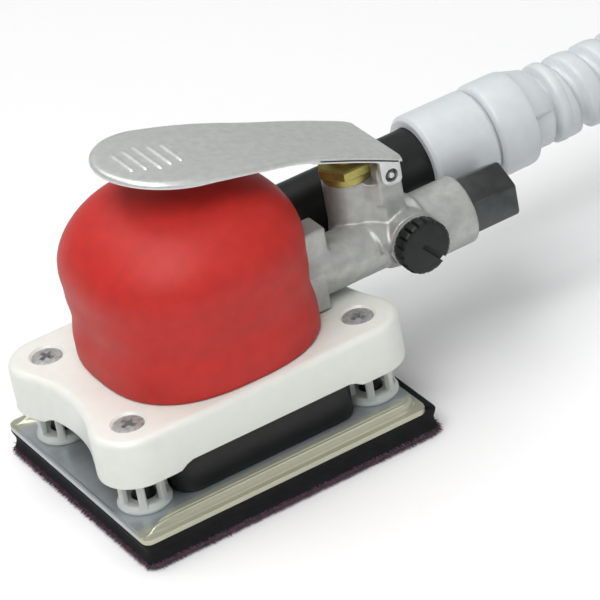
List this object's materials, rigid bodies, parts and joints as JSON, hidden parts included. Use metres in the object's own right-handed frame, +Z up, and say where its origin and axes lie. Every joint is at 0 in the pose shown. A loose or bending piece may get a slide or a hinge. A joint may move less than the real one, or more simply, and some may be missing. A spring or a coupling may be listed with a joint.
{
  "type": "orbital sander",
  "caption": "Palm orbital sander, air driven: rubber grip on a cast motor housing, throttle lever, white shroud on nylon legs, rectangular hook-face pad, corrugated dust hose.",
  "frame": {"origin": "where the motor axis meets the plane of the hook face", "axes": "+X towards the air inlet and the dust hose, +Z up along the motor axis, +Y to the side of the dust tube"},
  "size_m": [0.4477, 0.2992, 0.095],
  "materials": {
    "grip_rubber": "moulded, satin",
    "cast_aluminium": "die cast, blasted",
    "motor_steel": "machined",
    "lever_steel": "pressed, satin nickel",
    "plate_steel": "pressed and polished",
    "screw_steel": "machined",
    "brass": "turned",
    "black_steel": "black oxide",
    "white_enamel": "smooth gloss",
    "nylon": "moulded",
    "black_plastic": "moulded",
    "vane_plastic": "laminated",
    "black_rubber": "moulded",
    "pad_rubber": "closed cell foam",
    "hook_fabric": "hook nap",
    "hose_plastic": "moulded, soft"
  },
  "bodies": {
    "housing": {"grip_cover": "grip_rubber", "motor_housing": "cast_aluminium", "lever_pins": "screw_steel", "valve_bushing": "brass", "valve_seat": "black_rubber", "valve_spring": "screw_steel", "inlet_bushing": "black_steel", "inlet_screen": "screw_steel", "regulator_collar": "cast_aluminium", "exhaust_tube": "black_plastic", "hose_cuff": "hose_plastic", "dust_hose": "hose_plastic", "hose_coil": "hose_plastic", "hose_end_cuff": "hose_plastic", "housing_gasket": "black_rubber", "housing_screws": "screw_steel", "motor_cylinder": "motor_steel", "upper_end_plate": "motor_steel", "lower_end_plate": "motor_steel", "upper_bearing": "motor_steel", "lower_bearing": "motor_steel", "shroud": "white_enamel", "shroud_screws": "screw_steel", "leg_1": "nylon", "leg_2": "nylon", "leg_3": "nylon", "leg_4": "nylon", "dust_skirt": "black_rubber"},
    "lever": {"throttle_lever": "lever_steel"},
    "valve": {"valve_stem": "screw_steel"},
    "regulator": {"regulator_knob": "black_plastic"},
    "swivel": {"swivel_sleeve": "hose_plastic"},
    "rotor": {"rotor": "motor_steel", "vanes": "vane_plastic", "rotor_shaft": "motor_steel", "counterweight": "motor_steel", "spindle_bolt": "black_steel", "spindle_washer": "screw_steel"},
    "pad": {"pad_bearing": "motor_steel", "pad_hub": "cast_aluminium", "hub_screws": "screw_steel", "pad_plate": "plate_steel", "pad_rubber": "pad_rubber", "hook_face": "hook_fabric"}
  },
  "joints": [
    {"name": "lever_press", "type": "hinge", "parent": "housing", "child": "lever", "pos_m": [0.0582, 0, 0.0647], "axis": [0, -1, 0], "range_deg": [0, 5], "stiffness_Nm_per_rad": 0.3, "springref_deg": -8.59},
    {"name": "valve_press", "type": "slide", "parent": "housing", "child": "valve", "axis": [0, 0, -1], "range_m": [0, 0.0007], "deforming": ["valve_spring"]},
    {"name": "regulator_turn", "type": "hinge", "parent": "housing", "child": "regulator", "pos_m": [0.0605, -0.02, 0.044], "axis": [0, -1, 0], "range_deg": [-135, 135]},
    {"name": "swivel_spin", "type": "hinge", "parent": "housing", "child": "swivel", "pos_m": [0.092, 0.016, 0.0459], "axis": [1, 0, 0], "continuous": true},
    {"name": "rotor_spin", "type": "hinge", "parent": "housing", "child": "rotor", "pos_m": [0, 0, 0.05], "axis": [0, 0, 1], "continuous": true},
    {"name": "pad_orbit", "type": "hinge", "parent": "rotor", "child": "pad", "pos_m": [0, -0.0012, 0.018], "axis": [0, 0, 1], "continuous": true}
  ],
  "couplings": [
    {"joint": "valve_press", "follows": "lever_press", "m_per_rad": 0.0072},
    {"joint": "pad_orbit", "follows": "rotor_spin", "ratio": -1}
  ]
}
